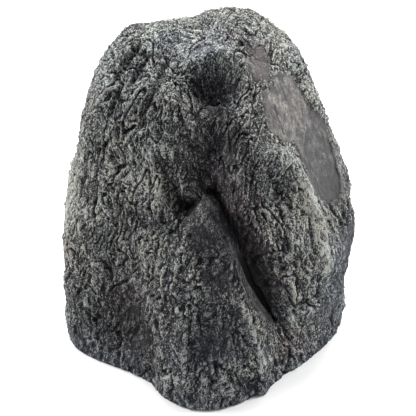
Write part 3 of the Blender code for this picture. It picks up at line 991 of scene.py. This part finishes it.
def fine_shell(name, first, last, grid, shift, hole, looks):
    """A hollow casting with its grain, from the rim up to the pole over CORE."""
    azimuths = np.linspace(first, last, grid[0] + 1)
    base = finer(plain_skin(azimuths, grid[1], 0.0)[0])
    outer = carved(base, base, 0.0)
    deep, over = (finer(points) for points in plain_skin(azimuths, grid[1], WALL_MM / MM))
    inner = carved(deep, over, WALL_MM / MM)
    rows, width = base.shape[0] - 1, base.shape[1]
    sectors = width - 1
    normals = grid_normals(base)
    normals[:, 0, 1] = normals[:, -1, 1] = 0.0
    normals[0, :, 2] = 0.0
    normals[-1] = (0.0, 0.0, 1.0)
    flat = base.reshape(-1, 3)
    behind = smoothstep(*BACKING_FADE, trail(flat, FISSURE)[0] * MM).reshape(rows + 1, width)
    inner = inner - normals * (BACKING_MM / MM * behind)[..., None]
    height, texture, shade, calm = detail(flat)
    away = hole(outer.reshape(-1, 3), flat)
    height = height - HOLE_MM * smoothstep(*HOLE_FADE, away)
    height = np.clip(height, -THINNEST_MM, HIGHEST_MM).reshape(rows + 1, width)
    height[-1] = height[-1].mean()
    rise = np.einsum("ijk,ijk->ij", outer - base, normals) * MM
    bare = bareness(texture.reshape(rows + 1, width) + FORM_SHARE * rise)
    outer = outer + normals * (height / MM)[..., None]

    count = rows * width
    quads = grid_quads(rows, width)
    quads = quads[away[quads].mean(1) > 0]
    last_row = (rows - 1) * width + np.arange(sectors)
    crown = 2 * count
    caps = np.stack([last_row, last_row + 1, np.full(sectors, crown)], 1)
    inside_caps = np.stack([last_row + 1 + count, last_row + count, np.full(sectors, crown + 1)], 1)
    inside = quads[:, ::-1] + count
    sheet = np.vstack([quads, np.hstack([caps, caps[:, 2:]])])
    rim = open_edges(sheet)
    twin = np.where(rim == crown, crown + 1, rim + count)
    walls = np.stack([rim[:, 1], rim[:, 0], twin[:, 0], twin[:, 1]], 1)
    sides = [outer[:-1].reshape(-1, 3), inner[:-1].reshape(-1, 3), outer[-1, :1], inner[-1, :1]]
    points = placed(np.vstack(sides)) + np.array((0, shift, 0))
    faces = quads.tolist() + caps.tolist() + inside.tolist() + inside_caps.tolist() + walls.tolist()
    guides = {"bare": 0.5 + (bare.ravel() - 0.5) * (1 - CALM_EVEN * calm), "shade": shade, "calm": calm}
    # Painted highlight, with extra dry-brush along the ridges.
    guides["dust_and_highlight"] = dust_and_highlight_amount(flat)
    guides["bald"] = np.minimum(strongest(flat, BALD_SPOTS), 1.0)
    guides["warm"] = strongest(flat, WARM_SPOTS)
    # The cool tint near the foot is part of its painted shade.
    guides["cool"] = np.maximum(strongest(flat, COOL_SPOTS), HEM_COOL * smoothstep(HEM, 0.0, flat[:, 2]))
    attributes = {}
    for key, values in guides.items():
        # Points inside the wall get full painted shade, so the slit's walls look dark.
        whole = np.full(len(points), 1.0 if key == "shade" else 0.0)
        whole[:count] = values[:count]
        whole[crown] = values[-1]
        attributes[key] = whole
    skin = len(quads) + len(caps)
    face_looks = np.zeros(len(faces), np.int32)
    face_looks[skin : 2 * skin] = 1
    return make_object(name, points, faces, looks, attributes, face_looks)


def bareness(height):
    """How far each point stands out from the stone around it: 0 in a hollow, 0.5 level, 1 on a crest."""
    near = height - local_mean(height, NEAR_MM)
    wide = height - local_mean(height, WIDE_MM)
    return 0.5 + 0.5 * np.tanh(near / NEAR_SOFT + wide / WIDE_SOFT)


def slit_distance(_, base):
    """How far each point is from the slit through the front shell, in mm, below zero inside it."""
    distance, _, along = trail(base, FISSURE)
    half = SLIT_HALF + SLIT_BULGE * np.sin(np.pi * np.clip(along, 0, 1))
    gap = distance * MM - roughened(half, base * MM, SLIT_EDGE)
    ahead = (SLIT_FIRST - along) * SLIT_FADE_MM
    behind = (along - SLIT_LAST) * SLIT_FADE_MM
    return np.maximum(gap, np.maximum(ahead, behind))


def mouth_distance(points, base):
    """How far each point is from the cave's mouth, in mm, below zero inside it."""
    q = placed(points)
    half = MOUTH_WIDE / 2
    x = q[:, 0] - MOUTH_X
    z = q[:, 2] - ORIGIN[2]
    over = np.hypot(x, np.maximum(z - (MOUTH_TALL - half), 0)) - half
    return over * 1000 + roughened(0.0, base * MM, MOUTH_EDGE) + MOUTH_INSET_MM


def slab_piece(looks):
    """The smooth slab, under the crust's broken edge."""
    corners = np.array(SLAB_OUTLINE)
    low = corners.min(0) - SLAB_MARGIN
    high = corners.max(0) + SLAB_MARGIN
    u, v = np.meshgrid(np.arange(low[0], high[0], SLAB_STEP), np.arange(low[1], high[1], SLAB_STEP))
    rows, width = u.shape
    u = u.ravel()
    v = v.ravel()
    axes = slab_axes()
    p = np.array(SLAB_AT) + u[:, None] * axes[0] + v[:, None] * axes[1]
    q = p * MM
    broken = slab_edge(p, u, v)
    window = smoothstep(*SLAB_SHOWN, broken)
    lines = np.stack([roughened(u * MM / STROKE_WIDE, q, STROKE_BEND), v * MM / STROKE_LONG, 0 * u], 1)
    strokes = layered(lines, STROKE_SEED, 3, gain=0.6)
    past_ledge = roughened((u - LEDGE_U - LEDGE_SLOPE * v) * MM, q, LEDGE_BEND)
    ledge = smoothstep(-LEDGE_SOFT, LEDGE_SOFT, past_ledge)
    seam = bump(past_ledge, SEAM_WIDE) * shown(q, LEDGE_SEAM)
    crack = smoothstep(*SLAB_CRACK_WIDE, np.abs(roughened((u - SLAB_CRACK_U) * MM, q, SLAB_CRACK_BEND)))
    crack *= smoothstep(*SLAB_CRACK_LONG, np.abs(v * MM - SLAB_CRACK_MIDDLE))
    level = roughened(SLAB_LEVEL + STROKE_MM * strokes, q, SLAB_SPECK)
    level = level + roughened(0.0, q, SLAB_DENTS) - LEDGE_MM * ledge * smoothstep(*LEDGE_END, u)
    level = level - SLAB_CRACK_MM * crack - LEDGE_SEAM.high * seam
    level = level * window - SLAB_SUNK * (1 - window)
    top = p + axes[2] * (level / MM)[:, None]
    bottom = p - axes[2] * (SLAB_THICK / MM)
    quads = grid_quads(rows, width)
    edge = outside(u, v, SLAB_OUTLINE) * MM
    quads = quads[edge[quads].mean(1) < SLAB_UNDER]
    count = u.size
    border = open_edges(quads)
    walls = np.stack([border[:, 1], border[:, 0], border[:, 0] + count, border[:, 1] + count], 1)
    faces = quads.tolist() + (quads[:, ::-1] + count).tolist() + walls.tolist()
    bare = roughened(SLAB_BARE + STROKE_BARE * strokes, q, SLAB_PATCHES)
    bare = bare - CRACK_BARE * crack - SEAM_BARE * seam
    # Painted shade along the crust's edge.
    bare = bare - RIM_SHADE * (1 - smoothstep(0.0, SLAB_RIM, -broken))
    low = np.maximum(LEDGE_LOW * ledge, smoothstep(*SLAB_FOOT, v))
    guides = {"bare": np.tile(np.clip(bare, 0, 1), 2), "low": np.tile(low, 2)}
    return make_object("slab_panel_stone", placed(np.vstack([top, bottom])), faces, looks, guides)


# Materials.


class Nodes:
    """Short ways to add and link shader nodes in one material."""

    def __init__(self, name):
        self.material = bpy.data.materials.new(name)
        self.material.use_nodes = True
        self.tree = self.material.node_tree
        self.shader = self.tree.nodes["Principled BSDF"]
        self.place = self.tree.nodes.new("ShaderNodeTexCoord").outputs["Object"]

    def add(self, kind, **inputs):
        made = self.tree.nodes.new(kind)
        for key, value in inputs.items():
            self.set(made.inputs[key.replace("_", " ")], value)
        return made

    def set(self, socket, value):
        if isinstance(value, bpy.types.NodeSocket):
            self.tree.links.new(value, socket)
        else:
            socket.default_value = value

    def attribute(self, name):
        made = self.tree.nodes.new("ShaderNodeAttribute")
        made.attribute_name = name
        return made.outputs["Fac"]

    def noise(self, size_mm, detail=3.0, rough=0.6, stretch=None, swirl=0.0):
        place = self.place
        if stretch is not None:
            place = self.add("ShaderNodeMapping", Vector=place, Scale=stretch).outputs["Vector"]
        settings = {"Scale": 1000.0 / size_mm, "Detail": detail, "Roughness": rough, "Distortion": swirl}
        return self.add("ShaderNodeTexNoise", Vector=place, **settings).outputs["Fac"]

    def math(self, operation, a, b=0.0, clamp=False):
        made = self.tree.nodes.new("ShaderNodeMath")
        made.operation = operation
        made.use_clamp = clamp
        self.set(made.inputs[0], a)
        self.set(made.inputs[1], b)
        return made.outputs[0]

    def swing(self, value, amount):
        """A noise value's swing about its middle, times amount."""
        return self.math("MULTIPLY", self.math("SUBTRACT", value, 0.5), amount)

    def total(self, *values):
        """The sum of values, kept within 0 to 1."""
        result = values[0]
        for value in values[1:]:
            result = self.math("ADD", result, value)
        return self.math("ADD", result, 0.0, clamp=True)

    def crests(self, value):
        """Thin lines where a noise value crosses its middle, 0 to 1."""
        away = self.math("ABSOLUTE", self.math("SUBTRACT", value, 0.5))
        return self.math("SUBTRACT", 1.0, self.math("MULTIPLY", away, 7.0), clamp=True)

    def ramp(self, fac, stops):
        made = self.tree.nodes.new("ShaderNodeValToRGB")
        marks = made.color_ramp.elements
        while len(marks) < len(stops):
            marks.new(0.5)
        for mark, (at, colour) in zip(marks, stops):
            mark.position = at
            mark.color = (*colour, 1.0)
        self.set(made.inputs["Fac"], fac)
        return made.outputs["Color"]

    def mix(self, fac, a, b, how="MIX"):
        made = self.tree.nodes.new("ShaderNodeMix")
        made.data_type = "RGBA"
        made.blend_type = how
        self.set(made.inputs["Factor"], fac)
        for socket, value in ((made.inputs[6], a), (made.inputs[7], b)):
            self.set(socket, (*value, 1.0) if isinstance(value, tuple) else value)
        return made.outputs[2]

    def bump(self, height, strength, distance_mm):
        made = self.add("ShaderNodeBump", Height=height, Strength=strength, Distance=distance_mm / 1000.0)
        self.set(self.shader.inputs["Normal"], made.outputs["Normal"])

    def finish(self, colour, roughness):
        self.set(self.shader.inputs["Base Color"], colour)
        self.set(self.shader.inputs["Roughness"], roughness)
        return self.material


def rock_paint():
    """A near-black wash in the hollows, charcoal between and light grey dry-brushed on the crests, with
    painted shade darkening it and painted highlight lightening it.
    """
    n = Nodes("rock_paint")
    bare = n.attribute("bare")
    shade = n.attribute("shade")
    calm = n.attribute("calm")
    speck = n.noise(1.0, 2.0, 0.7, (1.0, 1.0, 0.60), 0.3)
    wrinkle = n.noise(2.5, 2.0, 0.5, (1.0, 1.0, 0.62), 1.2)
    crease = n.crests(n.noise(5.0, 3.0, 0.6, (1.0, 1.0, 0.40), 0.6))
    clump = n.noise(12, 4.0, 0.6, (1.0, 1.0, 0.5), 0.6)
    patch = n.noise(34, 3.0, 0.6, (1.0, 1.0, 0.5))
    grit = n.math("SUBTRACT", 3.40, n.math("MULTIPLY", calm, 1.7))
    # Painted shade darkens the level and, below, tints the paint; painted highlight and dry-brush lighten
    # it.
    level = n.total(
        bare,
        n.swing(speck, grit),
        n.swing(wrinkle, 0.70),
        n.swing(crease, -0.46),
        n.swing(clump, 0.45),
        n.swing(patch, 0.60),
        n.math("MULTIPLY", shade, -0.15),
        n.math("MULTIPLY", n.attribute("dust_and_highlight"), 0.34),
        n.math("MULTIPLY", calm, -0.05),
        0.027,
    )
    paint = n.mix(shade, n.ramp(level, ROCK_TONES), SHADE_TINT, "MULTIPLY")
    stone = n.ramp(n.noise(9, 5.0, 0.65), STONE_TONES)
    paint = n.mix(n.attribute("bald"), paint, stone)
    pink = n.math("MULTIPLY", n.noise(18, 4.0, 0.65), 1.5)
    warm = n.total(n.math("MULTIPLY", n.attribute("warm"), 0.9), n.math("SUBTRACT", pink, 0.72))
    paint = n.mix(warm, paint, WARM_TINT, "MULTIPLY")
    blue = n.math("MULTIPLY", n.noise(30, 4.0, 0.65), 1.6)
    cool = n.total(n.math("MULTIPLY", n.attribute("cool"), 0.9), n.math("SUBTRACT", blue, 0.72))
    paint = n.mix(cool, paint, COOL_TINT, "MULTIPLY")
    fine = n.math("ADD", n.math("MULTIPLY", speck, 1.3), n.math("MULTIPLY", wrinkle, 1.5))
    strength = n.math("SUBTRACT", 1.0, n.math("MULTIPLY", calm, 0.55))
    n.bump(n.math("SUBTRACT", fine, n.math("MULTIPLY", crease, 0.7)), strength, 1.3)
    rough = n.math("ADD", 0.55, n.math("MULTIPLY", n.noise(5, 3.0, 0.6), 0.35))
    n.shader.inputs["Specular IOR Level"].default_value = SHEEN
    return n.finish(paint, rough)


def plain_resin():
    n = Nodes("plain_resin")
    colour = n.ramp(n.noise(24, 4.0, 0.6), RESIN_TONES)
    n.bump(n.math("ADD", n.noise(9, 3.0, 0.5), n.math("MULTIPLY", n.noise(1.2, 3.0, 0.6), 0.3)), 0.5, 0.8)
    return n.finish(colour, n.math("ADD", 0.5, n.math("MULTIPLY", n.noise(6, 2.0, 0.5), 0.3)))


def slab_paint():
    """Brownish grey, streaked down the slab, darker and more purple towards its foot."""
    n = Nodes("slab_paint")
    speck = n.noise(1.5, 4.0, 0.7)
    level = n.total(
        n.attribute("bare"),
        n.swing(speck, 2.1),
        n.swing(n.noise(3.2, 3.0, 0.6, (1.0, 1.0, 0.4)), 1.3),
        n.swing(n.noise(9, 5.0, 0.65, (1.0, 1.0, 0.5)), 1.80),
        n.math("MULTIPLY", n.attribute("low"), -0.60),
    )
    paint = n.mix(n.attribute("low"), n.ramp(level, SLAB_TONES), FOOT_TINT, "MULTIPLY")
    n.bump(n.math("ADD", n.noise(0.9, 4.0, 0.7), n.noise(3.0, 3.0, 0.6)), 0.8, 0.7)
    return n.finish(paint, n.math("ADD", 0.55, n.math("MULTIPLY", n.noise(4, 3.0, 0.6), 0.3)))


def sand_resin():
    n = Nodes("sand_resin")
    cells = n.add("ShaderNodeTexVoronoi", Vector=n.place, Scale=1000.0 / SAND_GRAIN_MM)
    tone = n.ramp(cells.outputs["Color"], SAND_TONES)
    n.bump(n.math("ADD", cells.outputs["Distance"], n.noise(5, 3.0, 0.6)), 0.6, 0.8)
    return n.finish(tone, n.math("ADD", 0.7, n.math("MULTIPLY", n.noise(3, 2.0, 0.5), 0.25)))


def foot_rubber():
    n = Nodes("foot_rubber")
    dust_and_highlight = n.noise(2.5, 4.0, 0.65)
    colour = n.ramp(dust_and_highlight, RUBBER_TONES)
    n.bump(n.noise(0.7, 3.0, 0.6), 0.3, 0.2)
    return n.finish(colour, n.math("ADD", 0.55, n.math("MULTIPLY", dust_and_highlight, 0.3)))


def floor_paint():
    n = Nodes("studio_floor")
    return n.finish(FLOOR_COLOUR, 0.6)


# The studio.


def add_camera(target):
    back = Vector((0.0, -math.cos(CAMERA_RISE), math.sin(CAMERA_RISE)))
    data = bpy.data.cameras.new("camera")
    data.lens = CAMERA_LENS
    camera = bpy.data.objects.new("camera", data)
    scene.collection.objects.link(camera)
    camera.location = target + back * CAMERA_AWAY
    camera.rotation_mode = "QUATERNION"
    camera.rotation_quaternion = (-back).to_track_quat("-Z", "Y")
    scene.camera = camera


def add_lamp(name, place, power, size, target):
    lamp = bpy.data.lights.new(name, "AREA")
    lamp.energy = power
    lamp.size = size
    holder = bpy.data.objects.new(name, lamp)
    scene.collection.objects.link(holder)
    holder.location = place
    holder.rotation_mode = "QUATERNION"
    holder.rotation_quaternion = (target - Vector(place)).to_track_quat("-Z", "Y")


def studio():
    target = Vector(placed([CAMERA_AIM])[0])
    add_camera(target)
    for name, place, power, size in LAMPS:
        add_lamp(name, place, power, size, target)
    world = bpy.data.worlds.new("studio_world")
    scene.world = world
    world.use_nodes = True
    sky = world.node_tree.nodes["Background"]
    sky.inputs["Color"].default_value = (1.0, 1.0, 1.0, 1.0)
    sky.inputs["Strength"].default_value = SKY
    scene.view_settings.view_transform = "Standard"
    bpy.ops.mesh.primitive_plane_add(size=FLOOR_SIZE, location=(0, 0, 0))
    ground = bpy.context.object
    ground.name = "studio_floor"
    ground.data.materials.append(floor_paint())


def dress(node, look):
    """Gives a CAD node that stays in view its finished material."""
    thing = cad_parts[node]
    thing.data.materials.clear()
    thing.data.materials.append(look)


def stand_for(piece, node):
    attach(piece, "root")
    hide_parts(node)


def build():
    inner_look = plain_resin()
    shell_looks = (rock_paint(), inner_look)
    front = fine_shell("front_shell_stone", -90, 90, FRONT_GRID, -SEAM_GAP, slit_distance, shell_looks)
    stand_for(front, "front_shell")
    rear = fine_shell("rear_shell_stone", 90, 270, REAR_GRID, SEAM_GAP, mouth_distance, shell_looks)
    stand_for(rear, "rear_shell")
    stand_for(slab_piece((slab_paint(),)), "slab_panel")
    for node in ("seam_strip", "floor_plate"):
        dress(node, inner_look)
    sand = sand_resin()
    for node in ("ballast_front", "ballast_left", "ballast_right"):
        dress(node, sand)
    rubber = foot_rubber()
    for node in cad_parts:
        if node.startswith("foot_"):
            dress(node, rubber)


studio()
build()
